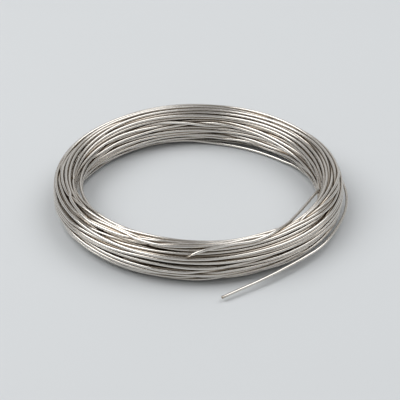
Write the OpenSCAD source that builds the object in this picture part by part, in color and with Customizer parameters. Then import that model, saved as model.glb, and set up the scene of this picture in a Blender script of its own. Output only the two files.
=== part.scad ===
// A loose coil of round bright wire, lying flat, with both ends of the wire free.
// Z = 0 is the surface that it lies on, and the Z axis is the middle of the coil.

/* [Wire] */
// Diameter of the wire
wire_d = 1; // [0.6:0.1:1.4]

/* [Coil] */
// Diameter over the outermost turns
coil_outer_d = 99; // [90:0.5:120]
// Width of the bundle of turns, from the bore to the outside
bundle_w = 10.2; // [8:0.2:14]
// Height of the bundle of turns
bundle_h = 14; // [11:0.5:16]
// Distance between neighbouring turns, as a share of the wire's diameter
turn_pitch = 0.9; // [0.8:0.02:0.94]
// How far a slack turn lies inside the outline of the bundle
slack = 0.25; // [0:0.05:0.3]
// How square the bundle's section is, where 2 is an ellipse
squareness = 2.4; // [2:0.1:3]

/* [Free ends] */
// Length of the straight stretch that ends the outer end
straight_l = 15; // [10:1:20]
// How far the outer end's tip points down, in degrees
tip_drop = 3; // [0:0.5:4]

/* [Hidden] */

// Bright platinum
wire_colour = [0.74, 0.72, 0.69];

wire_r = wire_d / 2;
outer_r = coil_outer_d / 2;
bore_r = outer_r - bundle_w;
mid_r = outer_r - bundle_w / 2;

// Half the width and half the height of the line through the turns' centres
half_w = bundle_w / 2 - wire_r;
half_h = bundle_h / 2 - wire_r;

// The line through the outer turns' centres, as fine points round the section
outline_steps = 360;
function bulge(c) = sign(c) * pow(abs(c), 2 / squareness);
function outline_at(a) = [mid_r + half_w * bulge(cos(a)), bundle_h / 2 + half_h * bulge(sin(a))];
outline = [for (i = [0 : outline_steps]) outline_at(360 * i / outline_steps - 90)];
// Distance along that line to each of its points
walked = [for (i = 0, s = 0; i <= outline_steps;
    s = i < outline_steps ? s + norm(outline[i + 1] - outline[i]) : s, i = i + 1) s];
turns = round(walked[outline_steps] / (turn_pitch * wire_d));
// The turns' centres, evenly spaced, with every third one slack, standing in towards the middle
middle = [mid_r, bundle_h / 2];
function point_after(s) = lookup_point(s, [for (i = [0 : outline_steps]) if (walked[i] <= s) i]);
function lookup_point(s, passed) = let (i = min(passed[len(passed) - 1], outline_steps - 1))
    outline[i] + (outline[i + 1] - outline[i]) * (s - walked[i]) / (walked[i + 1] - walked[i]);
function inwards(p, distance) = p + (middle - p) * distance / norm(middle - p);
turn_centres = [for (k = [0 : turns - 1])
    inwards(point_after(walked[outline_steps] * k / turns), k % 3 == 1 ? slack : 0)];

// Which way a turn faces out of the section
function facing(k) = let (d = turn_centres[(k + 1) % turns] - turn_centres[(k + turns - 1) % turns])
    atan2(d.y, d.x) - 90;

// Facets of a turn, and of the coil's circle
turn_facets = 16;
coil_facets = 120;

// The outer end lies as the photograph shows it. Each station is the angle round the coil, then
// how far outside the coil and how high the wire's centre is, both in wire diameters
outer_stations = [[34, -0.9, 5.2], [24, -0.3, 5.2], [14, 0.45, 5.2], [6, 0.75, 5], [0, 1.2, 4.3],
    [-7, 1.2, 3.5], [-15, 0.9, 3.1], [-24, 0.65, 2.9], [-32, 0.95, 2.9], [-39, 1.15, 2.9],
    [-45, 1.05, 2.9], [-51, 1.3, 2.9], [-60, 2.2, 2.7], [-68, 3.6, 2.3]];
// Each station of the inner end is the angle, then how far across the bundle it is, from 0 at the
// bore to 1 at the outside, and how high above the bundle's top, in wire diameters
inner_stations = [[-8, 0.17, -4.7], [-16, 0.06, -3.9], [-24, 0.03, -3.4], [-32, 0.08, -2.7],
    [-40, 0.2, -1.9], [-47, 0.36, -1.3], [-54, 0.52, -0.5], [-61, 0.7, 0], [-68, 0.76, -0.3],
    [-76, 0.745, -0.2], [-84, 0.8, -0.6], [-89, 0.86, -1.3], [-94, 0.95, -2.8]];
// Heading of the outer end's straight stretch, seen from above
tip_heading = -146;
tip_aim = [cos(tip_heading) * cos(tip_drop), sin(tip_heading) * cos(tip_drop), -sin(tip_drop)];

// Sides of a swept end, and how many rings lie between two of its stations
end_sides = 8;
rings_between = 3;
// A swept end's corners reach this share of the wire's radius
corner_reach = 0.98;

function on_coil(angle, r, z) = [r * cos(angle), r * sin(angle), z];
function unit(v) = v / norm(v);
// A smooth curve from b to c that also heeds the stations before and after
function curve(a, b, c, d, t) = 0.5 * (2 * b + (c - a) * t + (2 * a - 5 * b + 4 * c - d) * t * t
    + (3 * b - a - 3 * c + d) * t * t * t);
function smooth(p) = let (last = len(p) - 1)
    [for (i = [0 : last - 1], k = [0 : rings_between - 1])
        curve(p[max(i - 1, 0)], p[i], p[i + 1], p[min(i + 2, last)], k / rings_between), p[last]];

outer_route = smooth([for (s = outer_stations)
    on_coil(s[0], outer_r + s[1] * wire_d, s[2] * wire_d)]);
inner_route = smooth([for (s = inner_stations)
    on_coil(s[0], bore_r + s[1] * bundle_w, bundle_h + s[2] * wire_d)]);
knee = outer_route[len(outer_route) - 1];

// A wire of the given radius swept along a route that never runs straight up
module swept_wire(route, r) {
    last = len(route) - 1;
    rings = [for (i = [0 : last])
        let (along = unit(route[min(i + 1, last)] - route[max(i - 1, 0)]),
            side = unit(cross(along, [0, 0, 1])),
            over = cross(side, along))
        for (k = [0 : end_sides - 1])
            let (a = 360 * k / end_sides)
            route[i] + r * (side * cos(a) + over * sin(a))];
    walls = [for (i = [0 : last - 1], k = [0 : end_sides - 1])
        let (j = (k + 1) % end_sides)
        each [[i * end_sides + k, i * end_sides + j, (i + 1) * end_sides + j],
            [i * end_sides + k, (i + 1) * end_sides + j, (i + 1) * end_sides + k]]];
    near_cap = [for (k = [end_sides - 1 : -1 : 0]) k];
    far_cap = [for (k = [0 : end_sides - 1]) last * end_sides + k];
    polyhedron(rings, concat(walls, [near_cap, far_cap]));
}

// The turns as one turned solid with its bore: each outer turn shows as its own round ridge
module wire_coil() {
    color(wire_colour)
    rotate_extrude($fn = coil_facets)
    union() {
        polygon(turn_centres);
        for (k = [0 : turns - 1])
            translate(turn_centres[k])
            rotate(facing(k))
            circle(r = wire_r, $fn = turn_facets);
    }
}

// The end that leaves the coil at its outside, low down, and stands away from it
module outer_end() {
    color(wire_colour)
    union() {
        swept_wire(concat(outer_route, [knee + tip_aim * wire_r]), corner_reach * wire_r);
        translate(knee)
        rotate([0, 90 + tip_drop, tip_heading])
        cylinder(h = straight_l, r = wire_r, $fn = 24);
    }
}

// The end that crosses the bore's edge and lies over the turns at the front
module inner_end() {
    color(wire_colour)
    swept_wire(inner_route, wire_r);
}

wire_coil();
outer_end();
inner_end();
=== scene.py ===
"""A loose coil of bright platinum wire, lying flat, built round its solid model.

The coil is one wire from end to end. Each turn is laid in the bundle, the turns are
settled against each other, and the wire is swept along the path that comes out.
"""

import math

import bpy
import numpy as np
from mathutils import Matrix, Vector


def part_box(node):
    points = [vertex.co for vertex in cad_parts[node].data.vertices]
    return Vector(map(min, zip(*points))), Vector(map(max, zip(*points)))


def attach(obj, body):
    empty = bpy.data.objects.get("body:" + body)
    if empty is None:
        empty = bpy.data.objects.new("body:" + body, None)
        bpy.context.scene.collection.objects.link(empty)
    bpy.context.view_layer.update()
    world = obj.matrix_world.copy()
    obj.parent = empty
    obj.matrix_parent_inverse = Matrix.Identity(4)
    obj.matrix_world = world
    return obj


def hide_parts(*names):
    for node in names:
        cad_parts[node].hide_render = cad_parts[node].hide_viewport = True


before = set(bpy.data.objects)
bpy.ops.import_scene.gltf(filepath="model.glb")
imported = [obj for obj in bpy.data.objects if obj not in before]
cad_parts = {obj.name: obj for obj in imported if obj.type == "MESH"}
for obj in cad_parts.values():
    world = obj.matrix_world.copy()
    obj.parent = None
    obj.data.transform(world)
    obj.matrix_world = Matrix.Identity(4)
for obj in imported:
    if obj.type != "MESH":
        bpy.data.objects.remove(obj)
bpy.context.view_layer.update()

# Sizes in metres, as in the solid model
WIRE_D = 0.001
WIRE_R = WIRE_D / 2
BUNDLE_W = 0.0102
SQUARENESS = 2.4
STRAIGHT_L = 0.015
TIP_DROP = 3
TIP_HEADING = -146
coil_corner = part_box("wire_coil")[1]
OUTER_R = coil_corner.x
BUNDLE_H = coil_corner.z
BORE_R = OUTER_R - BUNDLE_W
MID_R = OUTER_R - BUNDLE_W / 2
MID_Z = BUNDLE_H / 2

# The outer end's stations: angle, offset outside the coil and height, in wire diameters
OUTER_STATIONS = [
    (34, -0.9, 5.2), (24, -0.3, 5.2), (14, 0.45, 5.2), (6, 0.75, 5), (0, 1.2, 4.3),
    (-7, 1.2, 3.5), (-15, 0.9, 3.1), (-24, 0.65, 2.9), (-32, 0.95, 2.9), (-39, 1.15, 2.9),
    (-45, 1.05, 2.9), (-51, 1.3, 2.9), (-60, 2.2, 2.7), (-68, 3.6, 2.3),
]
# The inner end's stations: angle, share across the bundle, height above it in wire diameters
INNER_STATIONS = [
    (-8, 0.17, -4.7), (-16, 0.06, -3.9), (-24, 0.03, -3.4), (-32, 0.08, -2.7),
    (-40, 0.2, -1.9), (-47, 0.36, -1.3), (-54, 0.52, -0.5), (-61, 0.7, 0), (-68, 0.76, -0.3),
    (-76, 0.745, -0.2), (-84, 0.8, -0.6), (-89, 0.86, -1.3), (-94, 0.95, -2.8),
]


# Camera: degrees that it looks down, distance from its target, target, lens and sensor in millimetres
VIEW_DOWN = 32.16
VIEW_DISTANCE = 0.631
VIEW_TARGET = (0.00058, 0.00288, 0)
LENS = 164.69
SENSOR_W = 36


def add_camera():
    down = math.radians(VIEW_DOWN)
    camera = bpy.data.objects.new("camera", bpy.data.cameras.new("camera"))
    camera.data.lens = LENS
    camera.data.sensor_width = SENSOR_W
    camera.location = (
        VIEW_TARGET[0],
        VIEW_TARGET[1] - VIEW_DISTANCE * math.cos(down),
        VIEW_TARGET[2] + VIEW_DISTANCE * math.sin(down),
    )
    camera.rotation_euler = (math.pi / 2 - down, 0, 0)
    bpy.context.scene.collection.objects.link(camera)
    bpy.context.scene.camera = camera


add_camera()


# The wire's path

# Each turn is settled at these places round the coil
PLACES = 96
STEP = 360 / PLACES
# Turns from the hidden fold to the outer end
TURNS = 69
SEED = 11
# The fold where the winding changes sense: its place, its radius, its whole turns from the inner end,
# the degrees between its points and how far apart its stand-ins are, which keep other turns off it
FOLD_PLACE = 35
FOLD_R = 0.00425
FOLD_TURNS_IN = 1
FOLD_STEP = 22.5
FOLD_GUARD = 0.9 * WIRE_D
# Points in the straight tip, from the last one of the curve before it
STRAIGHT_POINTS = 8
# The inner end's turns before the fold: angle, radius and height
INNER_TURNS = [
    (-8, 0.04103, 0.0093), (60, 0.0414, 0.0095), (150, 0.0421, 0.0115), (260, 0.0428, 0.0100),
    (380, 0.0438, 0.0112),
]
# How far apart the turns stand inside the bundle and at its outline, when their homes are found and
# while they settle. The bundle is looser inside, so that its skin is close
HOME_ROOM = (1.9 * WIRE_D, 1.05 * WIRE_D)
FIRST_ROOM = (1.0 * WIRE_D, 1.05 * WIRE_D)
MAIN_ROOM = (1.2 * WIRE_D, 1.0 * WIRE_D)
LAST_ROOM = (1.15 * WIRE_D, 1.03 * WIRE_D)
# The room changes from the one to the other as this slope times the share of the section, less a start
ROOM_SLOPE, ROOM_START = 2.5, 1.5
# Each settling: the room, how strongly the aims pull and how much of a bend is smoothed in a round
FIRST_SETTLING = dict(room=FIRST_ROOM, pull=0.03, smooth=0.3)
MAIN_SETTLING = dict(room=MAIN_ROOM, pull=0.06, smooth=0.2)
LAST_SETTLING = dict(room=LAST_ROOM, pull=0.0007, smooth=0.18)
# Rounds of each settling. The crossings are lifted after each of the lift rounds
HOME_ROUNDS = 400
FIRST_ROUNDS = 150
MAIN_ROUNDS = 250
LIFT_ROUNDS = (250, 120, 120, 100, 100)
LAST_ROUNDS = 50
# A point heeds so many neighbours, which are found again after so many rounds, and moves by a share
# of what it lacks in room
NEIGHBOURS = 9
ROUNDS_BETWEEN_LOOKS = 10
PUSH_SHARE = 0.35
# A point that is led is pulled by this share of its lead, and one led by over a third of a full lead
# may leave the bundle's outline
LEAD_PULL = 0.3
LEAD_FREES = 3
# What the lead of a stray keeps after the main settling
LEAD_KEPT = 0.5
# Turns that come this near and cross nearer than clear are lifted over each other, over so many places
# to each side. Two that move less than the least past each other don't cross
NEAR_CROSSING = 1.4 * WIRE_D
CLEAR_CROSSING = 0.9 * WIRE_D
LEAST_PASSING = 0.2 * WIRE_D
LIFT_REACH = 5
# Shares of a lift that a turn takes when it would move out of the bundle and into it
YIELD_OUT, YIELD_IN = 0.15, 0.85
# Two leads that add up to more than this hold both points
BOTH_HELD = 1.99
# How firmly a turn that stands out keeps to its route, and how fast that grows from the route's ends
STRAY_LEAD = 0.85
STRAY_GRIP = 0.7
# A bend between two stretches of the path, in degrees, that calls for one more point in each
MUCH_BENT = 5.2
# A point that stands for no turn lies here, out of reach of all
FAR_AWAY = (9.0, 9.0)
# Where the bundle's uneven skin begins, as a share of its section
SKIN = 0.8
# The homes are found in the bundle's section at this angle
HOME_ANGLE = 90.0
# Steps between the homes of one turn and the next, in wire diameters, how common each is, and how
# many orders of winding are tried
HOME_STEPS = (1.2, 2.2, 4.0)
HOME_STEP_SHARES = (0.3, 0.4, 0.3)
ORDERS_TRIED = 12000
# Where in a turn it changes to its next home: at two favoured sides of the coil or anywhere between
# two limits, with a spread, and over how much of the turn, all in turns
CHANGE_SIDES = (0.36, 0.86)
CHANGE_LIMITS = (0.1, 1.1)
CHANGE_SPREAD = 0.07
CHANGE_LENGTHS = (0.15, 0.45)
# The drift of a turn about its home: its lengths in turns, its size, how many times slower it swells
# and fades, and the range of that swell's start
DRIFT_LENGTHS = (0.19, 0.29, 0.47, 0.81)
DRIFT = 0.8 * WIRE_D
DRIFT_SWELL = 7.3
SWELL_STARTS = 6
# Guards against a division by zero
NO_DISTANCE = 1e-9
NO_REACH = 1e-6

# Narrow stretches of the bundle: angle, spread in degrees, how far the bore side stands back
WAISTS = [(-22, 16, 0.0022), (184, 15, 0.0022)]
# Hollows that no turn runs through: first and last angle, radius and height of the middle, and
# half the width and half the height. A hollow opens from its ends as a sine wave of so many times
# its size, and is never more than full. Nearer its middle than the least reach, a point moves less
HOLLOW_OPENS = 1.5
LEAST_HOLLOW_REACH = 0.05
HOLLOWS = [
    (284, 370, 0.0400, 0.0130, 0.0031, 0.0048),
    (78, 134, 0.0484, 0.0148, 0.0031, 0.0031),
    (290, 322, 0.0448, 0.0141, 0.0024, 0.0017),
    (242, 257, 0.0486, 0.0084, 0.0014, 0.0008),
    (250, 270, 0.0488, 0.0058, 0.0014, 0.0008),
    (252, 270, 0.0478, 0.0120, 0.0014, 0.0009),
    (261, 285, 0.0488, 0.0076, 0.0014, 0.0009),
    (190, 216, 0.0480, 0.0101, 0.0016, 0.0011),
]
# Turns that stand out in the photograph: angle, radius and height along each
STRAYS = [
    # Two that cross the left side from the outside to the top
    [(168, 0.0470, 0.0118), (183, 0.0462, 0.0128), (191, 0.0460, 0.0130), (199, 0.0454, 0.0132),
     (206, 0.0447, 0.0134), (213, 0.0441, 0.0134), (225, 0.0438, 0.0133), (240, 0.0434, 0.0132)],
    [(172, 0.0474, 0.0106), (189, 0.0467, 0.0124), (197, 0.0468, 0.0122), (206, 0.0469, 0.0120),
     (213, 0.0466, 0.0123), (220, 0.0462, 0.0126), (231, 0.0452, 0.0131), (245, 0.0445, 0.0132)],
    # The innermost two on the left side
    [(140, 0.0406, 0.0060), (160, 0.0400, 0.0072), (180, 0.0397, 0.0080), (195, 0.0397, 0.0088),
     (210, 0.0399, 0.0096), (228, 0.0402, 0.0104)],
    [(145, 0.0409, 0.0085), (160, 0.0403, 0.0092), (180, 0.0400, 0.0098), (195, 0.0401, 0.0106),
     (210, 0.0404, 0.0114), (225, 0.0408, 0.0122)],
    # Three that sweep over the right side from the top to the outside
    [(290, 0.0437, 0.0131), (299, 0.0441, 0.0127), (306, 0.0444, 0.0123), (314, 0.0446, 0.0131),
     (329, 0.0459, 0.0129), (334, 0.0463, 0.0127), (339, 0.0467, 0.0123), (350, 0.0474, 0.0112)],
    [(294, 0.0455, 0.0128), (302, 0.0457, 0.0126), (313, 0.0456, 0.0130), (319, 0.0459, 0.0129),
     (325, 0.0461, 0.0128), (329, 0.0465, 0.0125), (339, 0.0472, 0.0117), (350, 0.0478, 0.0105)],
    [(296, 0.0461, 0.0128), (304, 0.0462, 0.0127), (315, 0.0465, 0.0126), (322, 0.0468, 0.0123),
     (328, 0.0471, 0.0119), (333, 0.0473, 0.0116), (345, 0.0477, 0.0110), (355, 0.0481, 0.0100)],
    # One that stands off along the top of the back, and one along the right outline
    [(55, 0.0474, 0.0107), (70, 0.0478, 0.0117), (85, 0.0480, 0.0121), (100, 0.0480, 0.0123),
     (115, 0.0480, 0.0122), (130, 0.0478, 0.0118), (143, 0.0476, 0.0113), (158, 0.0474, 0.0104)],
    [(325, 0.0484, 0.0070), (340, 0.0489, 0.0072), (352, 0.0490, 0.0071), (364, 0.0490, 0.0068),
     (378, 0.0489, 0.0066), (395, 0.0485, 0.0064)],
    # One that lies on the floor inside the bore at the back
    [(16, 0.0426, 0.0020), (28, 0.0414, 0.0013), (40, 0.0406, 0.0010), (50, 0.0402, 0.0009),
     (62, 0.0402, 0.0008), (74, 0.0403, 0.0008), (86, 0.0407, 0.0009), (98, 0.0413, 0.0011),
     (112, 0.0421, 0.0017)],
]


def on_coil(angle, radius, height):
    return np.stack([radius * np.cos(angle), radius * np.sin(angle), height], -1)


def smooth_curve(stations, between=6):
    """A Catmull-Rom curve through the stations, with so many steps between two of them."""
    p = np.asarray(stations, float)
    p = np.vstack([p[:1], p, p[-1:]])
    t = (np.arange(between) / between)[None, :, None]
    a, b, c, d = (p[i : len(p) - 3 + i, None, :] for i in range(4))
    square, cube = 2 * a - 5 * b + 4 * c - d, 3 * b - a - 3 * c + d
    curve = 0.5 * (2 * b + (c - a) * t + square * t**2 + cube * t**3)
    return np.vstack([curve.reshape(-1, p.shape[1]), p[-1:]])


def outer_end_curve():
    angle, out, up = np.array(OUTER_STATIONS, float).T
    return smooth_curve(on_coil(np.radians(angle), OUTER_R + out * WIRE_D, up * WIRE_D))


def inner_end_curve():
    angle, share, up = np.array(INNER_STATIONS, float).T
    return smooth_curve(
        on_coil(np.radians(angle), BORE_R + share * BUNDLE_W, BUNDLE_H + up * WIRE_D)
    )


def section_of(curve):
    """A curve's angle in degrees, radius and height, with the angle rising."""
    angle = np.degrees(np.arctan2(curve[:, 1], curve[:, 0]))
    order = np.argsort(angle)
    return angle[order], np.hypot(curve[:, 0], curve[:, 1])[order], curve[order, 2]


def bundle_edges(angle):
    """Least and greatest radius of the wire's centre at an angle round the coil in degrees."""
    inner = np.full_like(angle, BORE_R + WIRE_R)
    for middle, spread, depth in WAISTS:
        off = (angle - middle + 180) % 360 - 180
        inner += depth * np.exp(-0.5 * (off / spread) ** 2)
    return inner, np.full_like(angle, OUTER_R - WIRE_R)


def share_of_section(place, inner, outer):
    """Where the points lie in the bundle's section, as shares of its half width and height."""
    middle = np.stack([(inner + outer) / 2, np.full_like(inner, MID_Z)], -1)
    half = np.stack([(outer - inner) / 2, np.full_like(inner, MID_Z - WIRE_R)], -1)
    share = (place - middle) / half
    reach = (np.abs(share) ** SQUARENESS).sum(-1) ** (1 / SQUARENESS)
    return middle, half, share, reach


def kept_in_bundle(place, inner, outer):
    """The places, with those outside the bundle's rounded section moved onto its outline."""
    middle, half, share, reach = share_of_section(place, inner, outer)
    return middle + share / np.maximum(reach, 1)[:, None] * half


def eased_inwards(place, angle):
    """The places, with those near the bundle's outline or outside it drawn in by uneven amounts."""
    inner, outer = bundle_edges(angle)
    middle, half, share, reach = share_of_section(place, inner, outer)
    over = np.clip(reach - SKIN, 0, None)
    eased = np.where(over > 0, SKIN + (1 - SKIN) * np.tanh(over / (1 - SKIN)), reach)
    return middle + share * (eased / np.maximum(reach, NO_REACH))[:, None] * half


def kept_out_of_hollows(place, angle):
    """The places, with those inside a hollow moved onto its edge."""
    for first, last, radius, height, half_w, half_h in HOLLOWS:
        along = ((angle - first) % 360) / (last - first)
        opened = np.sin(np.pi * np.clip(along, 0, 1)) * HOLLOW_OPENS
        half = np.array([half_w, half_h]) * np.minimum(opened, 1)[:, None] + NO_REACH
        share = (place - (radius, height)) / half
        reach = np.hypot(share[:, 0], share[:, 1])
        inside = (reach < 1) & (opened > 0)
        push = share[inside] / np.maximum(reach[inside], LEAST_HOLLOW_REACH)[:, None] * half[inside]
        place[inside] = (radius, height) + push
    return place


def nearest_turns(place, crew, count):
    """For each point, the points of the same place round the coil that lie nearest."""
    here = place[crew]
    apart = ((here[:, :, None] - here[:, None, :]) ** 2).sum(-1)
    near = np.argpartition(apart, count + 1, axis=2)[:, :, : count + 1]
    return np.take_along_axis(np.broadcast_to(crew[:, None, :], apart.shape), near, 2)


def pushed_apart(place, crew, near, room):
    """How far each point moves to find its room among its neighbours."""
    gap = place[crew][:, :, None] - place[near]
    apart = np.sqrt((gap**2).sum(-1)) + NO_DISTANCE
    reach = (room[crew][:, :, None] + room[near]) / 2
    wanted = np.clip(reach - apart, 0, None) * (near != crew[:, :, None])
    move = np.zeros_like(place)
    move[crew] = (gap * (wanted / apart)[..., None]).sum(2) * PUSH_SHARE
    return move


def settle(place, aim, crew, angle, lead, runs, rounds, room, pull=0.0, smooth=0.0):
    """Lets the turns find room: apart from each other, smooth along the wire, near their aims.

    A lead of 1 holds a point on its aim and a lead of 0 leaves it free. The crew is the points
    that each place round the coil holds, and a run is the first and last point of a stretch of
    wire. The places given are changed.
    """
    inner, outer = bundle_edges(angle)
    loose = (1 - lead)[:, None]
    for turn in range(rounds):
        if turn % ROUNDS_BETWEEN_LOOKS == 0:
            near = nearest_turns(place, crew, NEIGHBOURS)
            reach = share_of_section(place, inner, outer)[3]
            depth = np.clip(reach * ROOM_SLOPE - ROOM_START, 0, 1)
            here = room[0] + (room[1] - room[0]) * depth
        move = pushed_apart(place, crew, near, here)
        move += (aim - place) * np.maximum(pull, LEAD_PULL * lead)[:, None] * (lead < 1)[:, None]
        place += move * loose
        for first, last in runs:
            line = place[first:last]
            bend = (line[:-2] + line[2:]) / 2 - line[1:-1]
            line[1:-1] += bend * smooth * (lead[first + 1 : last - 1, None] < 1)
        fitted = kept_out_of_hollows(kept_in_bundle(place, inner, outer), angle)
        place += (fitted - place) * np.clip(1 - LEAD_FREES * lead, 0, 1)[:, None]


def lift_crossings(place, crew, lead, runs):
    """Where two turns pass through each other, lifts one of them over the other."""
    def on_run(i):
        return next((run for run in runs if run[0] < i < run[1] - 1), None)

    for members in crew:
        gaps = place[members][:, None] - place[members][None]
        close = np.triu(np.hypot(gaps[..., 0], gaps[..., 1]) < NEAR_CROSSING, 1)
        for a, b in zip(*np.nonzero(close)):
            i, k = members[a], members[b]
            if not on_run(i) or not on_run(k) or lead[i] + lead[k] > BOTH_HELD:
                continue
            onward = 1 if on_run(i) == on_run(k) else -1
            gap = place[i] - place[k]
            passing = place[i + 1] - place[k + onward] - gap
            length = np.hypot(*passing) + NO_DISTANCE
            at = -(gap @ passing) / length**2
            over = np.array([-passing[1], passing[0]]) / length
            clear = gap @ over
            if length < LEAST_PASSING or not 0 <= at <= 1 or abs(clear) > CLEAR_CROSSING:
                continue
            # The turn that would move into the bundle gives way, unless it is held
            side = 1 if clear >= 0 else -1
            inwards = [((MID_R, MID_Z) - place[point]) @ over for point in (i, k)]
            if max(lead[i], lead[k]) == 1:
                yielding = 0 if lead[i] == 1 else 1
                side = 1 if (inwards[0] if yielding else -inwards[1]) > 0 else -1
            else:
                yielding = YIELD_IN if side * (inwards[0] + inwards[1]) > 0 else YIELD_OUT
            lift = over * (side * LAST_ROOM[0] - clear)
            for off in range(-LIFT_REACH, LIFT_REACH + 2):
                share = math.exp(-((2 * (off - at) / LIFT_REACH) ** 2))
                if on_run(i + off) == on_run(i) and lead[i + off] < 1:
                    place[i + off] += lift * share * yielding
                if on_run(k + onward * off) == on_run(k) and lead[k + onward * off] < 1:
                    place[k + onward * off] -= lift * share * (1 - yielding)


def homes_in_section(rng):
    """Where the turns lie in the bundle's section, close at its skin, in the order of winding."""
    first = (MID_R, MID_Z - FOLD_R)
    last = (OUTER_R + OUTER_STATIONS[0][1] * WIRE_D, OUTER_STATIONS[0][2] * WIRE_D)
    count = TURNS + 1
    home = np.array([MID_R, MID_Z]) + (rng.random((count, 2)) - 0.5) * (BUNDLE_W, BUNDLE_H)
    home[0], home[-1] = first, last
    lead = np.zeros(count)
    lead[[0, -1]] = 1
    crew = np.arange(count)[None]
    angle = np.full(count, HOME_ANGLE)
    settle(home, home.copy(), crew, angle, lead, [], HOME_ROUNDS, HOME_ROOM)
    return wound_order(home, rng)


def wound_order(home, rng):
    """The homes in an order whose steps are short, with a few long ones that make crossings."""
    count = len(home)
    wanted = rng.choice(HOME_STEPS, count - 1, p=HOME_STEP_SHARES) * WIRE_D
    order = np.arange(count)

    def misfit(order):
        step = np.hypot(*np.diff(home[order], axis=0).T)
        return (((step - wanted) / WIRE_D) ** 2).sum()

    best = misfit(order)
    for _ in range(ORDERS_TRIED):
        i, k = sorted(rng.integers(1, count - 1, 2))
        tried = order.copy()
        if rng.random() < 0.5:
            tried[i : k + 1] = tried[i : k + 1][::-1]
        else:
            tried[i], tried[k] = tried[k], tried[i]
        cost = misfit(tried)
        if cost < best:
            order, best = tried, cost
    return home[order]


def aims_of_turns(home, wound, rng):
    """Each point's aim: its turn's home, and between two homes a slow change of place."""
    aim = np.repeat(home[:1], len(wound), 0)
    for k in range(1, len(home)):
        side = rng.choice([*CHANGE_SIDES, rng.uniform(*CHANGE_LIMITS)])
        centre = k - 1 + side + rng.normal(0, CHANGE_SPREAD)
        width = rng.uniform(*CHANGE_LENGTHS)
        t = np.clip((wound - centre) / width + 0.5, 0, 1)
        aim += (home[k] - home[k - 1]) * (t * t * (3 - 2 * t))[:, None]
    return aim


def wander(wound, rng):
    """A slow drift of a turn about its home, as a hand-wound coil has."""
    drift = np.zeros((len(wound), 2))
    for length in DRIFT_LENGTHS:
        for axis in (0, 1):
            phase = rng.random() * 2 * math.pi
            start = rng.random() * SWELL_STARTS
            swell = np.sin(2 * math.pi * wound / (length * DRIFT_SWELL) + start)
            drift[:, axis] += DRIFT * swell * np.sin(2 * math.pi * wound / length + phase)
    return drift


def follow_stray(stray, place, aim, lead, taken, angle, number):
    """Leads the turn that lies nearest to a stray's middle along the stray's route."""
    first, last = stray[0][0], stray[-1][0]
    route = smooth_curve(stray)
    middle = stray[len(stray) // 2]
    at = round(middle[0] / STEP) % PLACES
    free = [i for i in np.flatnonzero(number == at) if not taken[i]]
    nearest = min(free, key=lambda i: np.hypot(*(place[i] - middle[1:])))
    count = int((last - first) / STEP)
    for i in range(nearest - count, nearest + count + 1):
        here = middle[0] + (angle[i] - middle[0] + 180) % 360 - 180
        if first <= here <= last and lead[i] < 1:
            aim[i] = [np.interp(here, route[:, 0], route[:, axis]) for axis in (1, 2)]
            lead[i] = STRAY_LEAD * math.sin(math.pi * (here - first) / (last - first)) ** STRAY_GRIP
            taken[i] = True


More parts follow.
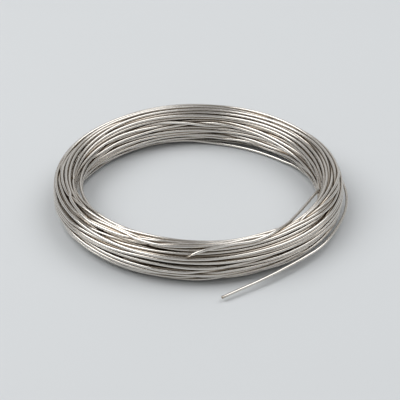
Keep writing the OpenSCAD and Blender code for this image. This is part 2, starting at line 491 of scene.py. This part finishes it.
def lay_wire():
    """The wire's centre line from its inner end to its outer end."""
    rng = np.random.default_rng(SEED)
    home = homes_in_section(rng)

    # Places along the inner part, which runs one way, and the outer part, which runs back
    inner_first = math.ceil(INNER_STATIONS[-1][0] / STEP)
    inner_places = np.arange(inner_first, FOLD_PLACE + FOLD_TURNS_IN * PLACES + 1)
    outer_last = math.ceil(OUTER_STATIONS[-2][0] / STEP) - TURNS * PLACES
    outer_places = np.arange(FOLD_PLACE, outer_last - 1, -1)
    places = np.concatenate([inner_places, outer_places])
    split = len(inner_places)

    # Aims
    aim = np.zeros((len(places), 2))
    route = smooth_curve(INNER_TURNS + [
        (FOLD_PLACE * STEP + 360 * FOLD_TURNS_IN, MID_R, MID_Z + FOLD_R)
    ])
    for axis in (0, 1):
        aim[:split, axis] = np.interp(inner_places * STEP, route[:, 0], route[:, axis + 1])
    wound = (FOLD_PLACE - outer_places) / PLACES
    aim[split:] = aims_of_turns(home, wound, rng) + wander(wound, rng)
    aim[split:] = eased_inwards(aim[split:], (outer_places * STEP) % 360)

    # The free ends and the fold stay where they are
    lead = np.zeros(len(places))
    inner_end = (0, split, inner_places * STEP, inner_end_curve(), INNER_STATIONS[0][0])
    outer_unwound = outer_places * STEP + 360 * TURNS
    outer_end = (split, len(places), outer_unwound, outer_end_curve(), OUTER_STATIONS[0][0])
    for first, last, unwound, curve, start in (inner_end, outer_end):
        turned, radius, height = section_of(curve)
        on_end = unwound <= start
        rows = np.arange(first, last)[on_end]
        aim[rows, 0] = np.interp(unwound[on_end], turned, radius)
        aim[rows, 1] = np.interp(unwound[on_end], turned, height)
        lead[rows] = 1
    lead[[split - 1, split]] = 1
    aim[split - 1] = (MID_R, MID_Z + FOLD_R)
    aim[split] = (MID_R, MID_Z - FOLD_R)

    # The fold stands in the way of other turns, with its whole height at the next place round the
    # coil and with its middle at the one after
    column = np.arange(MID_Z - FOLD_R, MID_Z + FOLD_R + WIRE_R, FOLD_GUARD)
    in_the_way = [(FOLD_PLACE + 1, z) for z in column] + [(FOLD_PLACE + 2, z) for z in column[2:-2]]
    nobody = len(places) + len(in_the_way)
    aim = np.vstack([aim, [(MID_R, z) for _, z in in_the_way], [FAR_AWAY]])
    lead = np.append(lead, np.ones(len(in_the_way) + 1))
    number = np.append(places, [p for p, _ in in_the_way] + [0]) % PLACES
    angle = number * STEP

    # Which points each place round the coil holds
    turns_here = [np.flatnonzero(number[:-1] == p) for p in range(PLACES)]
    crew = np.full((PLACES, max(map(len, turns_here))), nobody)
    for p, members in enumerate(turns_here):
        crew[p, : len(members)] = members
    runs = [(0, split), (split, len(places))]

    place = aim.copy()
    settle(place, aim, crew, angle, lead, runs, FIRST_ROUNDS, **FIRST_SETTLING)
    taken = lead > 0
    for stray in STRAYS:
        follow_stray(stray, place, aim, lead, taken, angle, number)
    settle(place, aim, crew, angle, lead, runs, MAIN_ROUNDS, **MAIN_SETTLING)
    lead[lead < 1] *= LEAD_KEPT
    for rounds in LIFT_ROUNDS:
        settle(place, aim, crew, angle, lead, runs, rounds, **LAST_SETTLING)
        lift_crossings(place, crew, lead, runs)
    settle(place, aim, crew, angle, lead, runs, LAST_ROUNDS, **LAST_SETTLING)
    return wire_line(place, places * STEP, split)


def wire_line(place, unwound, split):
    """The whole centre line: inner tip, inner part, fold, outer part and straight tip."""
    turns = on_coil(np.radians(unwound), place[: len(unwound), 0], place[: len(unwound), 1])
    inner_tip = inner_end_curve()[-1:]
    fold_angle = math.radians(unwound[split])
    ahead = np.array([-math.sin(fold_angle), math.cos(fold_angle), 0])
    middle = on_coil(fold_angle, MID_R, MID_Z)
    swing = np.radians(np.arange(FOLD_STEP, 180, FOLD_STEP))[:, None]
    fold = middle + FOLD_R * (ahead * np.sin(swing) + np.array([0, 0, 1.0]) * np.cos(swing))
    # The rest of the outer end's curve, from a degree beyond the last point of the turns
    last_angle = np.degrees(np.arctan2(turns[-1, 1], turns[-1, 0]))
    curve = outer_end_curve()
    beyond = curve[np.degrees(np.arctan2(curve[:, 1], curve[:, 0])) < last_angle - 1]
    heading, drop = math.radians(TIP_HEADING), math.radians(TIP_DROP)
    tip_aim = np.array([
        math.cos(heading) * math.cos(drop), math.sin(heading) * math.cos(drop), -math.sin(drop)
    ])
    straight = curve[-1] + tip_aim * np.linspace(0, STRAIGHT_L, STRAIGHT_POINTS)[1:, None]
    return np.vstack([inner_tip, turns[:split], fold, turns[split:], beyond, straight])


def finer_where_bent(path):
    """The path with one more point in the middle of each stretch that bends much."""
    step = np.diff(path, axis=0)
    ahead = step / np.linalg.norm(step, axis=1)[:, None]
    turn = np.degrees(np.arccos(np.clip((ahead[:-1] * ahead[1:]).sum(1), -1, 1)))
    bent = np.maximum(np.append(0, turn), np.append(turn, 0)) > MUCH_BENT
    bent[[0, -1]] = False
    at = np.flatnonzero(bent)
    # The middle of a smooth curve through the two points and the ones before and after them
    middle = (9 * (path[at] + path[at + 1]) - path[at - 1] - path[at + 2]) / 16
    return np.insert(path, at + 1, middle, axis=0)


wire_path = finer_where_bent(lay_wire())


# Materials
# Notes on the wire's surface: how far along and round it a point is, and its painted shade between
# turns
RUN_ATTRIBUTE = "wire_run"
PAINTED_SHADE_ATTRIBUTE = "painted_shade"
# The part of a noise's range that is used in full
NOISE_LOW, NOISE_HIGH = 0.3, 0.7
PLATINUM_DULL = (0.69, 0.66, 0.615, 1)
PLATINUM_BRIGHT = (0.80, 0.77, 0.725, 1)
# Painted shade between the turns: the dark brown that the base colour takes where other turns crowd
# round
PLATINUM_PAINTED_SHADE = (0.32, 0.25, 0.175, 1)
# Roughness of the wire's surface, least and greatest
GLOSSIEST = 0.13
DULLEST = 0.21
# Marks of drawing: repeats in a metre along the wire and across it, patches in a metre, how fine each
# is, and how much the lines add to the patches in height
LINE_LENGTH = 60.0
LINE_COUNT = 7000.0
PATCH_SIZE = 55.0
LINE_DETAIL = 3.0
PATCH_DETAIL = 2.0
LINE_SHARE = 0.6
LINE_DEPTH = 0.00001
LINE_STRENGTH = 0.2
FLOOR_ROUGHNESS = 0.9
FLOOR_SPECULAR = 0.1
MOTTLE_SCALE = 9.0
FLOOR_DARK = (0.62, 0.64, 0.655, 1)
FLOOR_LIGHT = (0.635, 0.655, 0.67, 1)


def new_node(tree, kind, at, **settings):
    node = tree.nodes.new(kind)
    node.location = at
    for name, value in settings.items():
        setattr(node, name, value)
    return node


def drawn_surface_group():
    """Marks of drawing and handling on wire: long die lines, blurred patches and fine lumps."""
    group = bpy.data.node_groups.new("drawn_surface", "ShaderNodeTree")
    face = group.interface
    face.new_socket("Run", in_out="INPUT", socket_type="NodeSocketVector")
    marks = {"Line Length": LINE_LENGTH, "Line Count": LINE_COUNT, "Patch Size": PATCH_SIZE}
    for name, value in marks.items():
        socket = face.new_socket(name, in_out="INPUT", socket_type="NodeSocketFloat")
        socket.default_value = value
    for name in ("Lines", "Patches", "Height"):
        face.new_socket(name, in_out="OUTPUT", socket_type="NodeSocketFloat")
    enter = new_node(group, "NodeGroupInput", (-900, 0))
    leave = new_node(group, "NodeGroupOutput", (600, 0))
    split = new_node(group, "ShaderNodeSeparateXYZ", (-700, 0))
    group.links.new(enter.outputs["Run"], split.inputs[0])
    along = new_node(group, "ShaderNodeMath", (-500, 120), operation="MULTIPLY")
    group.links.new(split.outputs["X"], along.inputs[0])
    group.links.new(enter.outputs["Line Length"], along.inputs[1])
    across, upward = (
        new_node(group, "ShaderNodeMath", (-500, y), operation="MULTIPLY") for y in (-40, -200)
    )
    for node, axis in ((across, "Y"), (upward, "Z")):
        group.links.new(split.outputs[axis], node.inputs[0])
        group.links.new(enter.outputs["Line Count"], node.inputs[1])
    stretched = new_node(group, "ShaderNodeCombineXYZ", (-300, 60))
    for socket, node in zip(stretched.inputs, (along, across, upward)):
        group.links.new(node.outputs[0], socket)
    lines = new_node(group, "ShaderNodeTexNoise", (-100, 160), noise_dimensions="3D")
    lines.inputs["Scale"].default_value = 1.0
    lines.inputs["Detail"].default_value = LINE_DETAIL
    group.links.new(stretched.outputs[0], lines.inputs["Vector"])
    patches = new_node(group, "ShaderNodeTexNoise", (-100, -160), noise_dimensions="3D")
    patches.inputs["Detail"].default_value = PATCH_DETAIL
    group.links.new(enter.outputs["Run"], patches.inputs["Vector"])
    group.links.new(enter.outputs["Patch Size"], patches.inputs["Scale"])
    height = new_node(group, "ShaderNodeMath", (250, -60), operation="MULTIPLY_ADD")
    height.inputs[1].default_value = LINE_SHARE
    group.links.new(lines.outputs[0], height.inputs[0])
    group.links.new(patches.outputs[0], height.inputs[2])
    group.links.new(lines.outputs[0], leave.inputs["Lines"])
    group.links.new(patches.outputs[0], leave.inputs["Patches"])
    group.links.new(height.outputs[0], leave.inputs["Height"])
    return group


def platinum():
    """Bright drawn platinum, a warm grey metal with fine lines along the wire."""
    metal = bpy.data.materials.new("platinum")
    metal.use_nodes = True
    tree = metal.node_tree
    shader = tree.nodes["Principled BSDF"]
    shader.inputs["Metallic"].default_value = 1.0
    run = new_node(tree, "ShaderNodeAttribute", (-900, 0), attribute_name=RUN_ATTRIBUTE)
    marks = new_node(tree, "ShaderNodeGroup", (-700, 0))
    marks.node_tree = drawn_surface_group()
    tree.links.new(run.outputs["Vector"], marks.inputs["Run"])

    tone = new_node(tree, "ShaderNodeValToRGB", (-400, 220))
    tone.color_ramp.elements[0].position = NOISE_LOW
    tone.color_ramp.elements[0].color = PLATINUM_DULL
    tone.color_ramp.elements[1].position = NOISE_HIGH
    tone.color_ramp.elements[1].color = PLATINUM_BRIGHT
    tree.links.new(marks.outputs["Patches"], tone.inputs["Fac"])
    # Painted shade: the base colour is mixed towards a dark brown where other turns crowd round
    painted_shade = new_node(tree, "ShaderNodeAttribute", (-400, 480), attribute_name=PAINTED_SHADE_ATTRIBUTE)
    shaded_tone = new_node(tree, "ShaderNodeMix", (-100, 300), data_type="RGBA")
    shaded_tone.inputs["B"].default_value = PLATINUM_PAINTED_SHADE
    tree.links.new(painted_shade.outputs["Fac"], shaded_tone.inputs["Factor"])
    tree.links.new(tone.outputs["Color"], shaded_tone.inputs["A"])
    tree.links.new(shaded_tone.outputs["Result"], shader.inputs["Base Color"])

    gloss = new_node(tree, "ShaderNodeMapRange", (-400, -60))
    gloss.inputs["From Min"].default_value = NOISE_LOW
    gloss.inputs["From Max"].default_value = NOISE_HIGH
    gloss.inputs["To Min"].default_value = GLOSSIEST
    gloss.inputs["To Max"].default_value = DULLEST
    tree.links.new(marks.outputs["Lines"], gloss.inputs["Value"])
    tree.links.new(gloss.outputs["Result"], shader.inputs["Roughness"])

    bump = new_node(tree, "ShaderNodeBump", (-400, -320))
    bump.inputs["Strength"].default_value = LINE_STRENGTH
    bump.inputs["Distance"].default_value = LINE_DEPTH
    tree.links.new(marks.outputs["Height"], bump.inputs["Height"])
    tree.links.new(bump.outputs["Normal"], shader.inputs["Normal"])
    return metal


def pale_floor():
    """Smooth pale grey board with the faintest mottling."""
    board = bpy.data.materials.new("pale_board")
    board.use_nodes = True
    tree = board.node_tree
    shader = tree.nodes["Principled BSDF"]
    shader.inputs["Roughness"].default_value = FLOOR_ROUGHNESS
    shader.inputs["Specular IOR Level"].default_value = FLOOR_SPECULAR
    place = new_node(tree, "ShaderNodeTexCoord", (-900, 0))
    mottle = new_node(tree, "ShaderNodeTexNoise", (-650, 0))
    mottle.inputs["Scale"].default_value = MOTTLE_SCALE
    tree.links.new(place.outputs["Object"], mottle.inputs["Vector"])
    tone = new_node(tree, "ShaderNodeValToRGB", (-400, 0))
    tone.color_ramp.elements[0].color = FLOOR_DARK
    tone.color_ramp.elements[1].color = FLOOR_LIGHT
    tree.links.new(mottle.outputs[0], tone.inputs["Fac"])
    tree.links.new(tone.outputs["Color"], shader.inputs["Base Color"])
    return board


# The wire's body
WIRE_SIDES = 12
GIRTH_ATTRIBUTE = "girth"
# The rings that round a tip: how far behind it, in wire radii, and how thick, as a share
TIP_BACK = (0.0, 0.12, 0.32, 0.6)
TIP_GIRTH = (0.55, 0.8, 0.95, 1.0)
# How near a turn has to be to add painted shade at a place, how many turns are counted, and how much
# crowding starts and ends the painted shade
PAINTED_SHADE_REACH = 0.8 * WIRE_D
PAINTED_SHADE_TURNS = 11
PAINTED_SHADE_RANGE = (0.2, 0.95)
# A point of the path this near a place round the coil, as a share of the step, was settled there
SETTLED_WITHIN = 0.02


def wire_sweep_tree():
    """Sweeps round wire along a line of edges, and notes how far along and round each point is."""
    tree = bpy.data.node_groups.new("swept_wire", "GeometryNodeTree")
    face = tree.interface
    face.new_socket("Centre Line", in_out="INPUT", socket_type="NodeSocketGeometry")
    face.new_socket("Wire Diameter", in_out="INPUT", socket_type="NodeSocketFloat")
    face.new_socket("Sides", in_out="INPUT", socket_type="NodeSocketInt")
    face.new_socket("Metal", in_out="INPUT", socket_type="NodeSocketMaterial")
    face.new_socket("Wire", in_out="OUTPUT", socket_type="NodeSocketGeometry")
    enter = new_node(tree, "NodeGroupInput", (-1200, 0))
    leave = new_node(tree, "NodeGroupOutput", (1200, 0))

    line = new_node(tree, "GeometryNodeMeshToCurve", (-950, 200))
    tree.links.new(enter.outputs["Centre Line"], line.inputs["Mesh"])
    along = new_node(tree, "GeometryNodeSplineParameter", (-950, 0))
    kept_run = new_node(tree, "GeometryNodeCaptureAttribute", (-700, 200), domain="POINT")
    kept_run.capture_items.new("FLOAT", "Along")
    tree.links.new(line.outputs["Curve"], kept_run.inputs["Geometry"])
    tree.links.new(along.outputs["Length"], kept_run.inputs["Along"])

    radius = new_node(tree, "ShaderNodeMath", (-950, -250), operation="MULTIPLY")
    radius.inputs[1].default_value = 0.5
    tree.links.new(enter.outputs["Wire Diameter"], radius.inputs[0])
    ring = new_node(tree, "GeometryNodeCurvePrimitiveCircle", (-700, -200))
    tree.links.new(enter.outputs["Sides"], ring.inputs["Resolution"])
    tree.links.new(radius.outputs[0], ring.inputs["Radius"])
    around = new_node(tree, "GeometryNodeInputPosition", (-700, -400))
    kept_ring = new_node(tree, "GeometryNodeCaptureAttribute", (-450, -200), domain="POINT")
    kept_ring.capture_items.new("VECTOR", "Around")
    tree.links.new(ring.outputs["Curve"], kept_ring.inputs["Geometry"])
    tree.links.new(around.outputs["Position"], kept_ring.inputs["Around"])

    girth = new_node(tree, "GeometryNodeInputNamedAttribute", (-450, 0), data_type="FLOAT")
    girth.inputs["Name"].default_value = GIRTH_ATTRIBUTE
    sweep = new_node(tree, "GeometryNodeCurveToMesh", (-200, 100))
    sweep.inputs["Fill Caps"].default_value = True
    tree.links.new(kept_run.outputs["Geometry"], sweep.inputs["Curve"])
    tree.links.new(kept_ring.outputs["Geometry"], sweep.inputs["Profile Curve"])
    tree.links.new(girth.outputs["Attribute"], sweep.inputs["Scale"])

    split = new_node(tree, "ShaderNodeSeparateXYZ", (-200, -250))
    tree.links.new(kept_ring.outputs["Around"], split.inputs[0])
    run = new_node(tree, "ShaderNodeCombineXYZ", (50, -200))
    tree.links.new(kept_run.outputs["Along"], run.inputs["X"])
    tree.links.new(split.outputs["X"], run.inputs["Y"])
    tree.links.new(split.outputs["Y"], run.inputs["Z"])
    noted = new_node(tree, "GeometryNodeStoreNamedAttribute", (300, 100), data_type="FLOAT_VECTOR")
    noted.inputs["Name"].default_value = RUN_ATTRIBUTE
    tree.links.new(sweep.outputs["Mesh"], noted.inputs["Geometry"])
    tree.links.new(run.outputs[0], noted.inputs["Value"])
    smooth = new_node(tree, "GeometryNodeSetShadeSmooth", (500, 100))
    tree.links.new(noted.outputs["Geometry"], smooth.inputs["Geometry"])
    real = new_node(tree, "GeometryNodeRealizeInstances", (700, 100))
    tree.links.new(smooth.outputs["Geometry"], real.inputs["Geometry"])
    faced = new_node(tree, "GeometryNodeSetMaterial", (900, 100))
    tree.links.new(real.outputs["Geometry"], faced.inputs["Geometry"])
    tree.links.new(enter.outputs["Metal"], faced.inputs["Material"])
    tree.links.new(faced.outputs["Geometry"], leave.inputs["Wire"])
    return tree


def set_inputs(modifier, **values):
    """Sets a modifier's inputs by their sockets' identifiers."""
    for item in modifier.node_group.interface.items_tree:
        name = item.name.lower().replace(" ", "_")
        if item.item_type == "SOCKET" and item.in_out == "INPUT" and name in values:
            modifier[item.identifier] = values[name]


def build_wire(path, metal):
    """The wire as one plain mesh, swept along its path, with both cut ends slightly rounded."""
    line = bpy.data.meshes.new("centre_line")
    edges = [(i, i + 1) for i in range(len(path) - 1)]
    line.from_pydata([tuple(p) for p in path], edges, [])
    girth = line.attributes.new(GIRTH_ATTRIBUTE, "FLOAT", "POINT")
    girth.data.foreach_set("value", end_rounding(path))
    guide = bpy.data.objects.new("centre_line", line)
    bpy.context.scene.collection.objects.link(guide)
    sweep = guide.modifiers.new("sweep", "NODES")
    sweep.node_group = wire_sweep_tree()
    set_inputs(sweep, wire_diameter=WIRE_D, sides=WIRE_SIDES, metal=metal)
    bpy.context.view_layer.update()
    view = bpy.context.evaluated_depsgraph_get()
    mesh = bpy.data.meshes.new_from_object(guide.evaluated_get(view))
    mesh.name = "platinum_wire"
    bpy.data.objects.remove(guide)
    wire = bpy.data.objects.new("platinum_wire", mesh)
    bpy.context.scene.collection.objects.link(wire)
    return wire


def rounded_ends(path):
    """The path with a few close rings added at both tips, for their rounding."""
    def tip(end, inner):
        back = (inner - end) / np.linalg.norm(inner - end)
        return end + back * np.array(TIP_BACK)[:, None] * WIRE_R
    first, last = tip(path[0], path[1]), tip(path[-1], path[-2])
    return np.vstack([first, path[1:-1], last[::-1]])


def end_rounding(path):
    """How thick the wire is at each point of its path, as a share, less at both tips."""
    girth = np.ones(len(path))
    girth[: len(TIP_GIRTH)] = TIP_GIRTH
    girth[-len(TIP_GIRTH) :] = TIP_GIRTH[::-1]
    return girth


def note_painted_shade(mesh, path):
    """Notes for each point of the wire's surface how closely other turns crowd round it, as a mask of
    painted shade.
    """
    spot = np.empty(len(mesh.vertices) * 3)
    mesh.vertices.foreach_get("co", spot)
    spot = spot.reshape(-1, 3)

    def section(points):
        angle = np.degrees(np.arctan2(points[:, 1], points[:, 0])) % 360
        place = np.round(angle / STEP).astype(int) % PLACES
        return angle, place, np.hypot(points[:, 0], points[:, 1])

    _, spot_place, spot_radius = section(spot)
    turn_angle, turn_place, turn_radius = section(path)
    crowd = np.zeros(len(spot))
    settled = np.abs(turn_angle / STEP - np.round(turn_angle / STEP)) < SETTLED_WITHIN
    settled_spots = np.repeat(settled, WIRE_SIDES)
    for p in range(PLACES):
        here, turns = (spot_place == p) & settled_spots, (turn_place == p) & settled
        gap = np.hypot(
            spot_radius[here, None] - turn_radius[turns], spot[here, 2, None] - path[turns, 2]
        )
        # The nearest turn of all is the point's own
        gap.sort(axis=1)
        crowd[here] = np.exp(-((gap[:, 1 : PAINTED_SHADE_TURNS + 1] / PAINTED_SHADE_REACH) ** 2)).sum(1)
    # Between two places round the coil, the crowding runs evenly from one to the next
    rings = crowd.reshape(len(path), WIRE_SIDES)
    known = np.flatnonzero(settled)
    for side in range(WIRE_SIDES):
        rings[:, side] = np.interp(np.arange(len(path)), known, rings[known, side])
    painted_shade = mesh.attributes.new(PAINTED_SHADE_ATTRIBUTE, "FLOAT", "POINT")
    low, high = PAINTED_SHADE_RANGE
    painted_shade.data.foreach_set("value", np.clip((crowd - low) / (high - low), 0, 1))


wire_path = rounded_ends(wire_path)
wire = build_wire(wire_path, platinum())
note_painted_shade(wire.data, wire_path)
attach(wire, "root")
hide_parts("wire_coil", "outer_end", "inner_end")


# Floor and light
FLOOR_HALF = 4.0
LAMPS = [
    dict(name="left_softbox", place=(-0.62, 0.0, 0.85), size=0.95, power=6.7),
    dict(name="right_softbox", place=(0.53, 0.22, 0.88), size=0.95, power=4.5),
    dict(name="front_softbox", place=(0.40, -0.62, 0.82), size=0.7, power=0.6),
    dict(name="back_panel", place=(0.0, 0.95, 0.58), size=1.0, power=0.7),
]
# The room's glow at the horizon and overhead, and the upward share of a direction that is overhead
HORIZON_GLOW = 0.55
CEILING_GLOW = 0.3
OVERHEAD = 0.5


def add_floor():
    corners = [(x * FLOOR_HALF, y * FLOOR_HALF, 0) for x, y in ((-1, -1), (1, -1), (1, 1), (-1, 1))]
    mesh = bpy.data.meshes.new("floor")
    mesh.from_pydata(corners, [], [(0, 1, 2, 3)])
    mesh.materials.append(pale_floor())
    floor = bpy.data.objects.new("floor", mesh)
    bpy.context.scene.collection.objects.link(floor)


def add_soft_lamp(name, place, size, power):
    lamp = bpy.data.lights.new(name, "AREA")
    lamp.shape = "DISK"
    lamp.size = size
    lamp.energy = power
    light = bpy.data.objects.new(name, lamp)
    light.location = place
    aim = -light.location
    light.rotation_euler = aim.to_track_quat("-Z", "Y").to_euler()
    bpy.context.scene.collection.objects.link(light)


def add_room():
    """A plain room whose glow differs between the horizon and overhead."""
    room = bpy.data.worlds.new("studio")
    room.use_nodes = True
    tree = room.node_tree
    look = new_node(tree, "ShaderNodeTexCoord", (-800, 0))
    split = new_node(tree, "ShaderNodeSeparateXYZ", (-600, 0))
    glow = new_node(tree, "ShaderNodeMapRange", (-400, 0))
    glow.inputs["From Min"].default_value = 0.0
    glow.inputs["From Max"].default_value = OVERHEAD
    glow.inputs["To Min"].default_value = HORIZON_GLOW
    glow.inputs["To Max"].default_value = CEILING_GLOW
    tree.links.new(look.outputs["Generated"], split.inputs[0])
    tree.links.new(split.outputs["Z"], glow.inputs["Value"])
    background = tree.nodes["Background"]
    background.inputs["Color"].default_value = (1, 1, 1, 1)
    tree.links.new(glow.outputs["Result"], background.inputs["Strength"])
    bpy.context.scene.world = room


add_floor()
for lamp in LAMPS:
    add_soft_lamp(**lamp)
add_room()
bpy.context.scene.view_settings.view_transform = "Standard"
